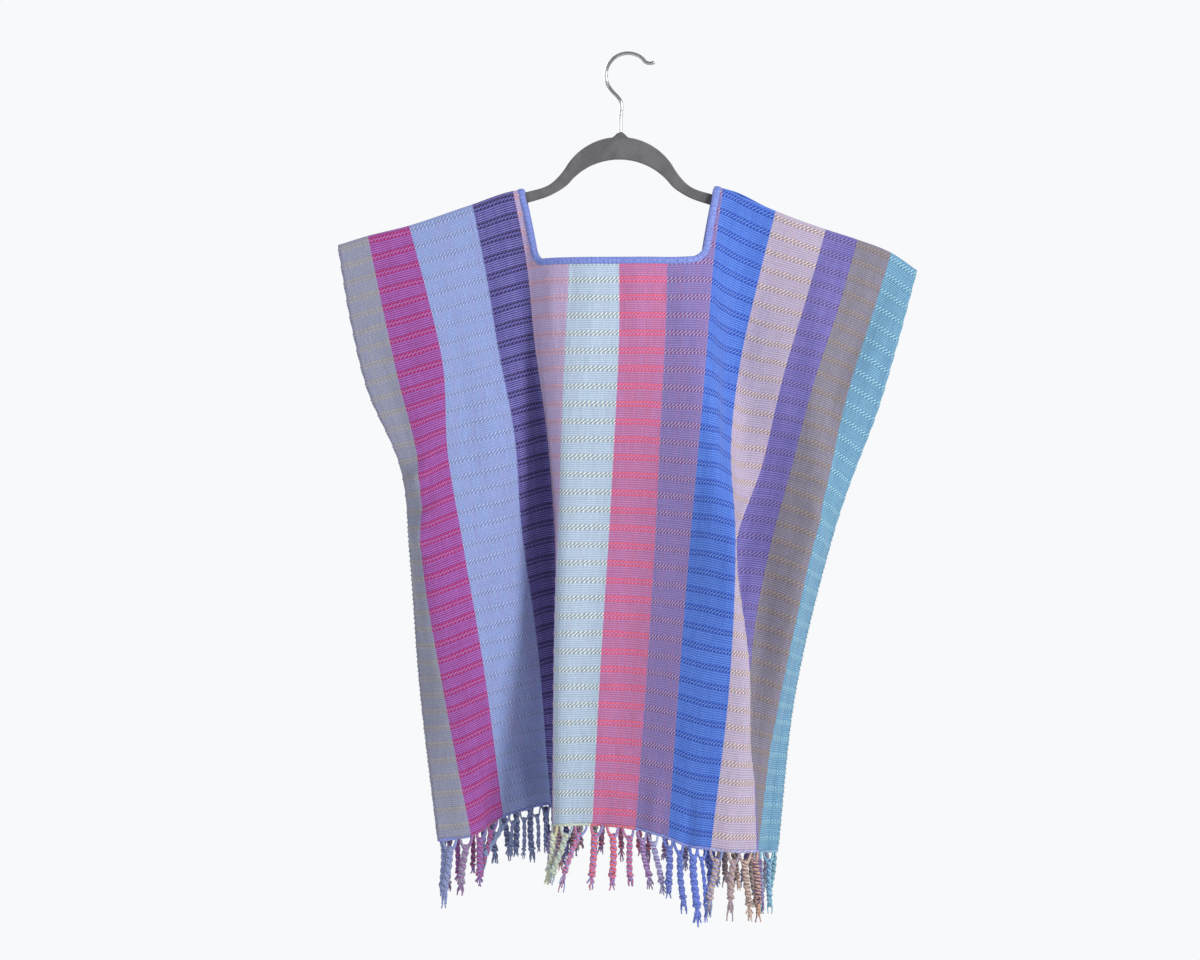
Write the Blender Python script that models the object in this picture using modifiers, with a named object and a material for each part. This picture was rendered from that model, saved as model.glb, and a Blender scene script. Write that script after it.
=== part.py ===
"""Huipil blouse on a slim hanger: one striped length of handwoven cloth folded over the shoulders.

Metres, +Z up, the front faces -Y. The origin is the inside top of the hanger's hook, where a rail holds it.
"""

from math import atan2, cos, pi, radians, sin

import bmesh
import bpy
import numpy as np

MM = 0.001

# Cloth. The warp runs down the front from the shoulder fold, v, and the stripes lie side by side, u.
WALL = 2.0 * MM
GAP = 0.3 * MM
PANEL_LENGTH = 628 * MM
SHOULDER_Z = -134 * MM
FOLD_RADIUS = 5.0 * MM
COLUMN_WIDTH = 17 * MM
ROW_HEIGHT = 30 * MM
CREST_HALF_WIDTH = 3.0 * MM
CREST_ROWS = tuple(row * MM for row in (0, 3, 5.5, 9))
SWELL_START = 30 * MM
ARMHOLE_DEPTH = 285 * MM
SEAM_CLOSING = 70 * MM
SEAM_REACH = 45 * MM

# Square neck, as cut in each half, and its binding.
NECK_LEFT, NECK_RIGHT = 0.198, 0.388
NECK_DEPTH = 80 * MM
BINDING_WIDTH = 6 * MM
BINDING_THICKNESS = 3.0 * MM
NECK_CORNER = 8 * MM
BINDING_STEP = 9 * MM
BINDING_GAP = 0.8 * MM

# Front and back are one cloth. Each is made as four solids, across the cloth, that share its folds out.
PIECES = (
    ("outer_left", 0.0, 0.078),
    ("left", 0.078, 0.218),
    ("middle", 0.218, NECK_RIGHT),
    ("right", NECK_RIGHT, 0.618),
)
SPLIT_GAP = 0.6 * MM

# Fringe, as the slab that the knotted tassels fill.
FRINGE_REACH = 74 * MM
FRINGE_WALL = 6 * MM
FRINGE_SIDE_GAP = 7 * MM
FRINGE_ROWS = 2
FRINGE_DROP = 1.2 * MM

# Hanger and hook.
HANGER_CENTRE_X = -7.5 * MM
HANGER_TILT = radians(0.8)
HANGER_THICKNESS = 5.5 * MM
HANGER_EDGE = 0.8 * MM
ARM_END = 222 * MM
ARM_DEPTH = 10.5 * MM
ARM_SLOPE = radians(19.6)
ARM_JOIN = 60 * MM
ARM_JOIN_Z = -126.5 * MM
ARCH_TOP_Z = -82 * MM
ARCH_BAND = 22.5 * MM
ARCH_RADIUS = 63 * MM
ARCH_INNER_RADIUS = 65 * MM
ARCH_STEPS = 9
WIRE = 3.6 * MM
HOOK_RADIUS = 22.2 * MM
SHANK_TOP_Z = -46 * MM
SHANK_SINK = 0.5 * MM

# Each row is one warp thread at a stripe's edge: the flat width of the stripe on its left, how far the
# shoulder has dropped there, where the thread lies sideways (X) at seven levels, and its depth (Y) at them.
LEVELS = np.array((0, 80, 150, 240, 330, 460, 628)) * MM
FRONT_WARPS = (
    # stripe, drop, X: shoulder neck bust armhole waist hip hem, Y at the same seven, hem Z
    (0, 57, -290, -277, -261, -227, -219, -211, -193, 0, 0, 0, 3, 16, 32, 42, -791),
    (33, 48, -261, -245, -230, -209, -206, -188, -160, 0, -2, -4, -4, -2, 18, 46, -786),
    (45, 38, -221, -201, -186, -181, -167, -147, -128, 0, -5, -7, -5, -2, 16, 52, -768),
    (67, 17, -158, -143, -132, -116, -110, -93, -80, 0, 4, 6, 10, 24, 42, 76, -758),
    (45, 3, -116, -101, -94, -82, -75, -71, -72, 0, 7, 12, 29, 48, 50, 44, -762),
    (28, 0, -90, -84, -84, -78, -72, -71, -73, -4, -6, -4, 2, 20, 22, 16, -767),
    (28, 0, -64, -59, -62, -66, -68, -72, -74, -18, -18, -18, -14, -6, -8, -8, -767),
    (49, 0, -12, -11, -11, -15, -20, -28, -37, -22, -22, -22, -20, -14, -20, -22, -765),
    (51, 0, 38, 37, 35, 30, 26, 18, 6, -18, -22, -26, -28, -26, -34, -34, -767),
    (46, 0, 94, 83, 77, 69, 61, 50, 38, 0, -15, -28, -38, -38, -48, -48, -774),
    (31, 10, 118, 103, 93, 89, 83, 73, 58, 0, -5, -12, -36, -50, -58, -56, -781),
    (31, 22, 146, 127, 112, 101, 103, 97, 78, 0, 6, 8, -14, -54, -64, -60, -783),
    (27, 32, 171, 152, 134, 112, 105, 116, 102, 0, 2, 3, 2, -36, -62, -58, -786),
    (27, 41, 197, 176, 156, 135, 112, 119, 124, 0, -2, -3, 1, -10, -38, -50, -787),
    (33, 51, 228, 207, 185, 163, 140, 123, 127, 0, -2, -4, -4, -5, -10, -18, -791),
    (39, 64, 262, 240, 219, 198, 176, 150, 129, 0, -1, -2, -2, -2, 6, 16, -798),
    (38, 82, 289, 269, 250, 220, 196, 169, 152, 0, 0, 0, 6, 14, 24, 34, -800),
)
BACK_WARPS = (
    (0, 57, -290, -277, -261, -227, -219, -211, -193, 0, 1, 2, 5, 16, 32, 42, -791),
    (33, 48, -261, -245, -229, -206, -203, -198, -183, 0, 3, 6, 14, 30, 52, 68, -787),
    (45, 38, -221, -203, -187, -172, -166, -161, -154, 0, 4, 8, 20, 40, 66, 90, -768),
    (67, 17, -158, -143, -130, -113, -104, -100, -98, 0, 8, 16, 30, 52, 74, 98, -757),
    (45, 3, -116, -101, -92, -75, -66, -62, -58, 0, 12, 24, 42, 62, 72, 84, -757),
    (56, 0, -60, -60, -60, -58, -56, -55, -50, 22, 30, 42, 60, 78, 96, 116, -760),
    (49, 0, -8, -8, -9, -12, -14, -16, -15, 26, 34, 44, 60, 78, 94, 108, -764),
    (51, 0, 42, 40, 38, 34, 32, 34, 30, 20, 28, 38, 52, 68, 84, 92, -766),
    (46, 0, 94, 83, 78, 74, 74, 80, 76, 0, 17, 32, 46, 62, 82, 98, -774),
    (62, 22, 146, 129, 114, 97, 88, 84, 90, 0, 13, 24, 30, 34, 40, 54, -783),
    (54, 41, 197, 177, 158, 137, 120, 110, 114, 0, 6, 12, 22, 36, 56, 82, -788),
    (33, 51, 228, 206, 186, 165, 145, 130, 134, 0, 4, 8, 18, 36, 62, 92, -792),
    (39, 64, 262, 240, 220, 198, 176, 156, 150, 0, 4, 8, 16, 32, 50, 66, -798),
    (38, 82, 289, 269, 250, 220, 196, 169, 152, 0, 1, 2, 8, 14, 24, 34, -800),
)


def clear_scene():
    for thing in list(bpy.data.objects):
        bpy.data.objects.remove(thing, do_unlink=True)


def material(name, colour, roughness, metallic=0.0):
    made = bpy.data.materials.new(name)
    made.use_nodes = True
    shader = made.node_tree.nodes["Principled BSDF"]
    shader.inputs["Base Color"].default_value = (*colour, 1.0)
    shader.inputs["Roughness"].default_value = roughness
    shader.inputs["Metallic"].default_value = metallic
    return made


def add_object(name, data, finish, collection):
    made = bpy.data.objects.new(name, data)
    made.data.materials.append(finish)
    collection.objects.link(made)
    return made


def smooth(knots, values, places):
    """Cubic curves through values at the knots, read at places along the first axis."""
    slopes = np.gradient(values, knots, axis=0)
    left = np.clip(np.searchsorted(knots, places, side="right") - 1, 0, len(knots) - 2)
    span = knots[left + 1] - knots[left]
    t = (places - knots[left]) / span
    shape = (-1,) + (1,) * (values.ndim - 1)
    t, span = t.reshape(shape), span.reshape(shape)
    return (
        values[left] * (1 + 2 * t) * (1 - t) ** 2
        + slopes[left] * span * t * (1 - t) ** 2
        + values[left + 1] * t**2 * (3 - 2 * t)
        + slopes[left + 1] * span * t**2 * (t - 1)
    )


class Panel:
    """One half of the cloth, from the shoulder fold down: places are u across and v down, in metres."""

    fine = np.append(np.arange(12) * MM, np.linspace(12 * MM, PANEL_LENGTH, 155))

    def __init__(self, warps, side):
        table = np.array(warps, float) * MM
        self.side = side
        self.edges = np.cumsum(table[:, 0]).round(6)
        self.drop = table[:, 1]
        self.x = table[:, 2:9]
        self.y = table[:, 9:16]
        self.hem = table[:, 16]

    def drawn_together(self, u, down):
        """1 on the side seams, where front and back meet, and 0 on the rest of the cloth."""
        from_side = np.minimum(u, self.edges[-1] - u)
        near_side = np.clip(1 - from_side / SEAM_REACH, 0, 1)
        sewn = np.clip((down - ARMHOLE_DEPTH) / SEAM_CLOSING + 1, 0, 1)
        return near_side**2 * sewn**2 * (3 - 2 * sewn)

    def middle(self, u, v):
        """The cloth's middle surface at every pair of u and v: an array of len(v), len(u), 3."""
        x = smooth(LEVELS, smooth(self.edges, self.x, u).T, self.fine)
        y = smooth(LEVELS, smooth(self.edges, self.y, u).T, self.fine)
        down = self.fine[:, None]
        over_fold = FOLD_RADIUS * np.sin(np.clip(down / FOLD_RADIUS, 0, pi / 2))
        apart = self.side * (over_fold * (1 - self.drawn_together(u, down)) + GAP / 2)
        apart = apart + self.side * WALL / 2 * np.clip(down / CREST_HALF_WIDTH, 0, 1)
        lean = np.gradient(x, self.fine, axis=0) ** 2 + np.gradient(y + apart, self.fine, axis=0) ** 2
        y = y * np.clip(down / SWELL_START, 0, 1) + apart
        fall = np.sqrt(np.clip(1 - lean, 0, 1))
        steps = (fall[1:] + fall[:-1]) / 2 * np.diff(self.fine)[:, None]
        fallen = np.vstack((np.zeros(len(u)), np.cumsum(steps, axis=0)))
        top = SHOULDER_Z - smooth(self.edges, self.drop, u)
        z = top + (smooth(self.edges, self.hem, u) - top) * fallen / fallen[-1]
        return smooth(self.fine, np.stack((x, y, z), axis=2), v)

    def place(self, u, v, out=0.0):
        """Points at matching u and v, moved out of the cloth by out."""
        nudge = 0.5 * MM
        points = []
        for one_u, one_v, one_out in zip(u, v, np.broadcast_to(out, len(u))):
            across = np.array((one_u - nudge, one_u, one_u + nudge))
            down = np.clip((one_v - nudge, one_v, one_v + nudge), 0, PANEL_LENGTH)
            near = self.middle(across, down)
            normal = np.cross(near[1, 2] - near[1, 0], near[2, 1] - near[0, 1])
            points.append(near[1, 1] + self.side * normal / np.linalg.norm(normal) * one_out)
        return np.array(points)


def stops(edges, step):
    """Places from the first edge to the last that hold every edge, about a step apart."""
    places = [edges[0]]
    for start, end in zip(edges, edges[1:]):
        count = max(1, round((end - start) / step))
        places += [start + (end - start) * k / count for k in range(1, count + 1)]
    return np.array(places)


def grid_mesh(name, points, keep=None):
    """A mesh of the points of a rows by columns grid, without the cells that keep leaves out."""
    rows, columns = points.shape[:2]
    mesh = bpy.data.meshes.new(name)
    built = bmesh.new()
    corners = [[built.verts.new(p) for p in row] for row in points]
    for r in range(rows - 1):
        for c in range(columns - 1):
            if keep is None or keep(r, c):
                built.faces.new(
                    (corners[r][c], corners[r + 1][c], corners[r + 1][c + 1], corners[r][c + 1])
                )
    loose = [vert for vert in built.verts if not vert.link_faces]
    bmesh.ops.delete(built, geom=loose, context="VERTS")
    built.to_mesh(mesh)
    built.free()
    return mesh


def solid_wall(thing, thickness):
    wall = thing.modifiers.new("wall", "SOLIDIFY")
    wall.thickness = thickness
    wall.offset = 0.0
    wall.use_even_offset = True
    thing.data.shade_smooth()
    return thing


def cloth_panel(name, start, end, panel, finish, collection):
    """A wall of cloth from start to end across the panel, with its share of the neck left out."""
    start += SPLIT_GAP / 2 * (start > 0)
    end -= SPLIT_GAP / 2 * (end < panel.edges[-1])
    inner = [edge for edge in (*panel.edges, NECK_LEFT, NECK_RIGHT) if start + MM < edge < end - MM]
    u = stops((start, *sorted(set(inner)), end), COLUMN_WIDTH)
    v = stops((*CREST_ROWS, NECK_DEPTH, PANEL_LENGTH), ROW_HEIGHT)
    points = panel.middle(u, v)

    def outside_neck(row, column):
        middle = (u[column] + u[column + 1]) / 2
        return not (NECK_LEFT < middle < NECK_RIGHT and v[row] < NECK_DEPTH - MM)

    thing = add_object(name, grid_mesh(name, points, outside_neck), finish, collection)
    return solid_wall(thing, WALL)


def neck_path():
    """The neck's cut edge as (u, v) from the left shoulder to the right one, and which way is in."""
    turn_v = NECK_DEPTH - NECK_CORNER
    left_u, right_u = NECK_LEFT + NECK_CORNER, NECK_RIGHT - NECK_CORNER
    side = stops((*CREST_ROWS, turn_v), BINDING_STEP)
    bottom = stops((left_u, right_u), BINDING_STEP)
    path = [(NECK_LEFT, v) for v in side[:-1]]
    inward = [(1, 0)] * len(path)
    for centre, start, end in ((left_u, pi, pi / 2), (right_u, pi / 2, 0)):
        if centre == right_u:
            path += [(u, NECK_DEPTH) for u in bottom[1:-1]]
            inward += [(0, -1)] * (len(bottom) - 2)
        for turn in np.linspace(start, end, 4):
            path.append((centre + NECK_CORNER * cos(turn), turn_v + NECK_CORNER * sin(turn)))
            inward.append((-cos(turn), -sin(turn)))
    path += [(NECK_RIGHT, v) for v in side[-2::-1]]
    inward += [(-1, 0)] * (len(side) - 1)
    return np.array(path), np.array(inward)


def neck_binding(front, back, finish, collection):
    """One closed band round the neck, made from the cloth's own points, with rounded long edges."""
    half_width, half_thick = BINDING_WIDTH / 2, BINDING_THICKNESS / 2
    edge = BINDING_GAP + half_width
    corners = ((-1, 0), (-0.6, -1), (0.6, -1), (1, 0), (0.6, 1), (-0.6, 1))
    section = [(half_width * across, half_thick * out) for across, out in corners]
    path, inward = neck_path()
    rings = []
    for panel, order in ((front, slice(None)), (back, slice(-2, 0, -1))):
        for (u, v), (in_u, in_v) in zip(path[order], inward[order]):
            across = [edge + place for place, _ in section]
            out = np.array([height for _, height in section])
            ring_u = [u + in_u * far for far in across]
            ring_v = [max(0.0, v + in_v * far) for far in across]
            rings.append(panel.place(ring_u, ring_v, out))
    built = bmesh.new()
    loops = [[built.verts.new(p) for p in ring] for ring in rings]
    for ring, following in zip(loops, loops[1:] + loops[:1]):
        for k in range(len(section)):
            after = (k + 1) % len(section)
            built.faces.new((ring[k], ring[after], following[after], following[k]))
    bmesh.ops.recalc_face_normals(built, faces=built.faces)
    mesh = bpy.data.meshes.new("neck_binding")
    built.to_mesh(mesh)
    built.free()
    mesh.shade_smooth()
    return add_object("neck_binding", mesh, finish, collection)


def fringe(name, panel, finish, collection):
    """The slab that the tassels of one hem fill, hanging on from the cloth's last rows."""
    u = stops((FRINGE_SIDE_GAP, panel.edges[-1] - FRINGE_SIDE_GAP), COLUMN_WIDTH)
    hem = panel.middle(u, np.array((PANEL_LENGTH,)))[0]
    drops = np.linspace(FRINGE_DROP, FRINGE_REACH, FRINGE_ROWS)
    points = np.stack([hem - np.array((0, 0, drop)) for drop in drops])
    thing = add_object(name, grid_mesh(name, points), finish, collection)
    return solid_wall(thing, FRINGE_WALL)


def hanger_outline():
    """Right half of the flat hanger from its top to its lower middle, as x from its centre and z."""
    arch_centre = ARCH_TOP_Z - ARCH_RADIUS
    inner_top = ARCH_TOP_Z - ARCH_BAND
    inner_centre = inner_top - ARCH_INNER_RADIUS
    last = atan2(ARM_JOIN, ARM_JOIN_Z - arch_centre)
    upper = [
        (ARCH_RADIUS * sin(turn), arch_centre + ARCH_RADIUS * cos(turn))
        for turn in np.linspace(0, last - radians(12), ARCH_STEPS)
    ]
    along, down = cos(ARM_SLOPE), sin(ARM_SLOPE)

    def on_arm(x, depth):
        run = (x - ARM_JOIN) / along
        return (x - depth * down, ARM_JOIN_Z - run * down - depth * along)

    tip = ARM_DEPTH / 2
    end = [
        (
            ARM_END - tip + tip * sin(turn) * 0.9,
            on_arm(ARM_END - tip, tip)[1] + tip * cos(turn),
        )
        for turn in np.linspace(radians(20), radians(160), 5)
    ]
    upper += [on_arm(ARM_JOIN + 9 * MM, 0), on_arm(ARM_END - 12 * MM, 0), *end]
    lower = [on_arm(ARM_END - 10 * MM, ARM_DEPTH), on_arm(ARM_JOIN + 10 * MM, ARM_DEPTH)]
    inner_last = radians(52)
    lower += [
        (ARCH_INNER_RADIUS * sin(turn), inner_centre + ARCH_INNER_RADIUS * cos(turn))
        for turn in np.linspace(inner_last, 0, ARCH_STEPS)
    ]
    return upper, lower


def hanger(finish, collection):
    """Flat outline with both arms, cut from one thickness, its rim eased and the whole tilted."""
    upper, lower = hanger_outline()
    half = upper + lower
    whole = half + [(-x, z) for x, z in reversed(half[1:-1])]
    curve = bpy.data.curves.new("hanger", "CURVE")
    curve.dimensions = "2D"
    curve.fill_mode = "BOTH"
    curve.extrude = HANGER_THICKNESS / 2 - HANGER_EDGE
    curve.bevel_depth = HANGER_EDGE
    curve.offset = -HANGER_EDGE
    curve.bevel_resolution = 1
    line = curve.splines.new("POLY")
    line.points.add(len(whole) - 1)
    for point, (x, z) in zip(line.points, whole):
        point.co = (x, z - ARCH_TOP_Z, 0, 1)
    line.use_cyclic_u = True
    thing = add_object("hanger", curve, finish, collection)
    thing.rotation_euler = (pi / 2, HANGER_TILT, 0)
    thing.location = (HANGER_CENTRE_X, 0, ARCH_TOP_Z)
    return thing


def hook_route():
    """The wire's middle line: up from the hanger, out to the left, over the rail and out at the tip."""
    middle = np.array((0.0, WIRE / 2 - HOOK_RADIUS))
    route = [
        np.array((HANGER_CENTRE_X, ARCH_TOP_Z + SHANK_SINK)),
        np.array((HANGER_CENTRE_X, (ARCH_TOP_Z + SHANK_TOP_Z) / 2)),
        np.array((HANGER_CENTRE_X, SHANK_TOP_Z)),
    ]
    for turn in np.linspace(radians(222), radians(36), 15):
        route.append(middle + HOOK_RADIUS * np.array((cos(turn), sin(turn))))
    route.append(route[-1] + np.array((4, -1)) * MM)
    route.append(route[-1] + np.array((5, 1)) * MM)
    return route


def hook(finish, collection):
    curve = bpy.data.curves.new("hook", "CURVE")
    curve.dimensions = "3D"
    curve.bevel_depth = WIRE / 2
    curve.bevel_resolution = 2
    curve.use_fill_caps = True
    route = hook_route()
    line = curve.splines.new("POLY")
    line.points.add(len(route) - 1)
    for point, (x, z) in zip(line.points, route):
        point.co = (x, 0, z, 1)
    return add_object("hook", curve, finish, collection)


def build():
    clear_scene()
    collection = bpy.data.collections.new("huipil_blouse")
    bpy.context.scene.collection.children.link(collection)
    cloth = material("striped_cloth", (0.42, 0.42, 0.62), 0.9)
    cord = material("periwinkle_binding", (0.15, 0.20, 0.60), 0.85)
    tassels = material("warp_fringe", (0.38, 0.36, 0.58), 0.9)
    flock = material("grey_flock", (0.10, 0.10, 0.105), 0.95)
    chrome = material("chrome", (0.75, 0.76, 0.78), 0.15, 1.0)
    front, back = Panel(FRONT_WARPS, -1), Panel(BACK_WARPS, 1)
    for half, panel in (("front", front), ("back", back)):
        for part, start, end in PIECES:
            cloth_panel(f"{half}_{part}", start, end, panel, cloth, collection)
    neck_binding(front, back, cord, collection)
    fringe("front_fringe", front, tassels, collection)
    fringe("back_fringe", back, tassels, collection)
    hanger(flock, collection)
    hook(chrome, collection)


build()
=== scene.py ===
from math import atan2, cos, pi, radians, sin, tau

import bpy
import numpy as np
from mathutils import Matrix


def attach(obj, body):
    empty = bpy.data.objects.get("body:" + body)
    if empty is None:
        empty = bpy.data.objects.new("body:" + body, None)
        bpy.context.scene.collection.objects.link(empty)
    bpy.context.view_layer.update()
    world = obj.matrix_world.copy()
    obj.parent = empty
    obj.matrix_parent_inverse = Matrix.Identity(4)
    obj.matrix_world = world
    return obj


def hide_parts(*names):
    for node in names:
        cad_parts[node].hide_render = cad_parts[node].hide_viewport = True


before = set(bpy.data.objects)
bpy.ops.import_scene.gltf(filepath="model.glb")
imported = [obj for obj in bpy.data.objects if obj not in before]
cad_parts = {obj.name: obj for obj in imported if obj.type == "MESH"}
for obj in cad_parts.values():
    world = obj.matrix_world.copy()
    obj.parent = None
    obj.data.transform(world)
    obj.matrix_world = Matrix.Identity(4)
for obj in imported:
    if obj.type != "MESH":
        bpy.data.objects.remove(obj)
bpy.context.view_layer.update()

# ---- The striped cloth ----
# One length of cotton woven in thirteen stripes, with fine ribs across it and a raised double twined row
# every 17 mm. It is folded over the hanger's arms with a square neck cut out of the fold.

MM = 0.001
CLOTH_WIDTH_MM = 618.0
PANEL_LENGTH = 628 * MM
SHOULDER_Z = -134 * MM
FOLD_RADIUS = 5 * MM
SWELL_START = 30 * MM
CREST_HALF_WIDTH = 3 * MM
CLEAR_OF_HANGER = 1.15 * MM
SEAM_HALF_GAP = 0.62 * MM
ARMHOLE_DEPTH = 285 * MM
SEAM_CLOSING = 70 * MM
SEAM_REACH = 45 * MM
NECK_LEFT, NECK_RIGHT = 0.196, 0.391
NECK_TAPER = 0.055
NECK_DEPTH = 80 * MM
NECK_CORNER = 18 * MM
CLOTH_THICKNESS = 1.2 * MM
UNDER_BINDING = 2.2 * MM
COLUMN_WIDTH = 3.2 * MM
TWINED_START = 6.5 * MM
TWINED_PITCH = 17.3 * MM
TWINED_HEIGHT = 0.4 * MM
ROWS_IN_REPEAT = (0, 1.9, 3.9, 5.8, 9.6, 13.4)
RIBS_IN_REPEAT = 8.0
STRIPE_BITE = 0.4
STRAND_PITCH = 4.0
STRAND_LEAN = 0.42
LOWER_ROW_SHIFT = 0.3

# Each row is one warp thread, at a stripe's edge or middle: the flat width of cloth between it and the row
# before, how far the shoulder has dropped there, where the thread lies sideways (X) at seven levels, and
# its depth (Y) at them.
LEVELS = np.array((0, 80, 150, 240, 330, 460, 628)) * MM
FRONT_WARPS = (
    # width, drop, X: shoulder neck bust armhole waist hip hem, Y at the same seven, hem Z
    (0, 57, -290, -277, -261, -227, -219, -211, -193, 0, 0, 0, 3, 16, 32, 42, -791),
    (33, 48, -261, -245, -230, -209, -206, -188, -160, 0, -2, -4, -4, -2, 18, 46, -786),
    (45, 38, -221, -201, -186, -181, -167, -147, -128, 0, -5, -7, -5, -2, 16, 52, -768),
    (67, 17, -158, -143, -132, -116, -110, -93, -80, 0, 4, 6, 10, 24, 42, 76, -758),
    (45, 3, -116, -101, -94, -82, -75, -71, -72, 0, 7, 12, 29, 48, 50, 44, -762),
    (28, 0, -90, -84, -84, -78, -72, -71, -73, -4, -6, -4, 2, 20, 22, 16, -767),
    (28, 0, -64, -59, -62, -66, -68, -72, -74, -18, -18, -18, -14, -6, -8, -8, -767),
    (49, 0, -12, -11, -11, -15, -20, -28, -37, -22, -22, -22, -20, -14, -20, -22, -765),
    (51, 0, 38, 37, 35, 30, 26, 18, 6, -18, -22, -26, -28, -26, -34, -34, -767),
    (46, 0, 94, 83, 77, 69, 61, 50, 38, 0, -15, -28, -38, -38, -48, -48, -774),
    (31, 10, 118, 103, 93, 89, 83, 73, 58, 0, -5, -12, -36, -50, -58, -56, -781),
    (31, 22, 146, 127, 112, 101, 103, 97, 78, 0, 6, 8, -14, -54, -64, -60, -783),
    (27, 32, 171, 152, 134, 112, 105, 116, 102, 0, 2, 3, 2, -36, -62, -58, -786),
    (27, 41, 197, 176, 156, 135, 112, 119, 124, 0, -2, -3, 1, -10, -38, -50, -787),
    (33, 51, 228, 207, 185, 163, 140, 123, 127, 0, -2, -4, -4, -5, -10, -18, -791),
    (39, 64, 262, 240, 219, 198, 176, 150, 129, 0, -1, -2, -2, -2, 6, 16, -798),
    (38, 82, 289, 269, 250, 220, 196, 169, 152, 0, 0, 0, 6, 14, 24, 34, -800),
)
BACK_WARPS = (
    (0, 57, -290, -277, -261, -227, -219, -211, -193, 0, 1, 2, 5, 16, 32, 42, -791),
    (33, 48, -261, -245, -229, -206, -203, -198, -183, 0, 3, 6, 14, 30, 52, 68, -787),
    (45, 38, -221, -203, -187, -172, -166, -161, -154, 0, 4, 8, 20, 40, 66, 90, -768),
    (67, 17, -158, -143, -130, -113, -104, -100, -98, 0, 8, 16, 30, 52, 74, 98, -757),
    (45, 3, -116, -101, -92, -75, -66, -62, -58, 0, 12, 24, 42, 62, 72, 84, -757),
    (56, 0, -60, -60, -60, -58, -56, -55, -50, 22, 30, 42, 60, 78, 96, 116, -760),
    (49, 0, -8, -8, -9, -12, -14, -16, -15, 26, 34, 44, 60, 78, 94, 108, -764),
    (51, 0, 42, 40, 38, 34, 32, 34, 30, 20, 28, 38, 52, 68, 84, 92, -766),
    (46, 0, 94, 83, 78, 74, 74, 80, 76, 0, 17, 32, 46, 62, 82, 98, -774),
    (62, 22, 146, 129, 114, 97, 88, 84, 90, 0, 13, 24, 30, 34, 40, 54, -783),
    (54, 41, 197, 177, 158, 137, 120, 110, 114, 0, 6, 12, 22, 36, 56, 82, -788),
    (33, 51, 228, 206, 186, 165, 145, 130, 134, 0, 4, 8, 18, 36, 62, 92, -792),
    (39, 64, 262, 240, 220, 198, 176, 156, 150, 0, 4, 8, 16, 32, 50, 66, -798),
    (38, 82, 289, 269, 250, 220, 196, 169, 152, 0, 1, 2, 8, 14, 24, 34, -800),
)

# Soft creases, each from one place on the flat cloth to another: across, down, across, down, half-width
# and how far it stands out of the cloth, or sinks into it when that is less than zero. All in mm. A crease
# whose second place is below the hem runs off the cloth.
FRONT_CREASES = (
    # from: across down, to: across down, half-width, rise
    (4, 262, 62, 238, 9, 4.0),
    (2, 288, 58, 282, 7, -3.5),
    (0, 304, 40, 322, 8, 3.0),
    (10, 330, 30, 470, 10, 2.0),
    (20, 90, 26, 250, 9, -1.6),
    (92, 40, 108, 300, 14, -2.2),
    (118, 120, 128, 560, 15, 2.6),
    (88, 300, 92, 620, 12, -2.0),
    (160, 30, 170, 210, 9, 1.6),
    (212, 72, 216, 132, 5, -1.0),
    (229, 72, 232, 168, 6, 1.1),
    (251, 70, 250, 140, 6, -1.2),
    (272, 70, 270, 190, 7, 1.2),
    (297, 72, 298, 150, 6, -1.3),
    (318, 70, 316, 175, 7, 1.0),
    (343, 72, 345, 145, 6, -1.1),
    (366, 70, 362, 180, 7, 1.2),
    (252, 260, 262, 610, 16, 1.6),
    (330, 220, 322, 600, 18, -1.8),
    (300, 380, 296, 640, 12, 1.2),
    (402, 20, 420, 190, 9, -1.8),
    (448, 40, 440, 180, 10, 1.6),
    (436, 20, 438, 300, 13, -5.0),
    (515, 40, 588, 330, 14, 5.0),
    (588, 20, 562, 190, 13, -5.5),
    (528, 200, 546, 440, 15, -5.0),
    (510, 200, 520, 560, 18, -10.0),
    (548, 340, 552, 800, 13, -6.0),
    (576, 190, 584, 520, 15, 6.5),
    (600, 360, 598, 800, 6, -2.2),
    (596, 150, 600, 330, 9, 3.0),
    (560, 250, 618, 300, 8, -2.6),
    (572, 276, 618, 330, 7, 2.4),
    (30, 560, 26, 650, 9, 2.0),
    (66, 570, 60, 650, 8, -2.4),
    (104, 560, 108, 650, 9, 2.2),
    (150, 575, 152, 650, 8, -1.8),
    (262, 585, 262, 650, 9, 1.8),
    (312, 590, 308, 650, 9, -1.6),
    (372, 570, 370, 650, 10, 2.2),
    (420, 580, 424, 650, 9, -2.4),
    (470, 575, 474, 650, 8, 2.0),
)
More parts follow.
